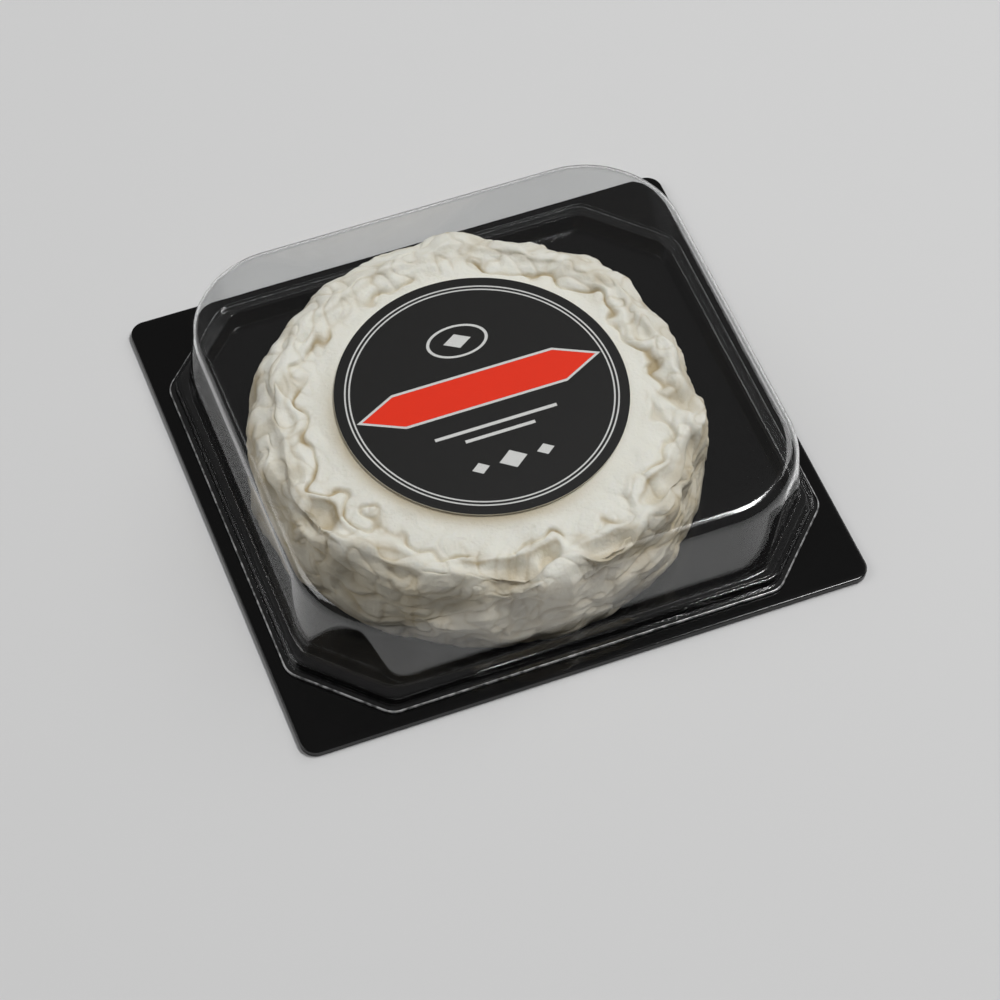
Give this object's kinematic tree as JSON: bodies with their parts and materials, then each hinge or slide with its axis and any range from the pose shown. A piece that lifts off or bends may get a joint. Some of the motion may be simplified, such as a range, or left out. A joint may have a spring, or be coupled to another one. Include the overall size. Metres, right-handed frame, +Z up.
{
  "type": "soft cheese in a clear pack",
  "caption": "Small round soft cheese with a wrinkled white rind and a round paper label, shut in a shallow black tray under a clear moulded lid.",
  "frame": {"origin": "on the table, under the middle of the tray's underside", "axes": "+X along the tray's front edge, +Y from the front edge to the back, +Z up"},
  "size_m": [0.13, 0.1216, 0.0263],
  "materials": {
    "tray": "black thermoformed sheet, satin gloss",
    "cheese": "creamy white wrinkled rind, matt, with tan creases",
    "label": "stiff white paper printed black with a red field, silky",
    "lid": "clear thermoformed plastic sheet, glossy"
  },
  "bodies": {
    "root": {"tray": "tray", "cheese": "cheese", "label": "label", "lid": "lid"}
  },
  "joints": []
}
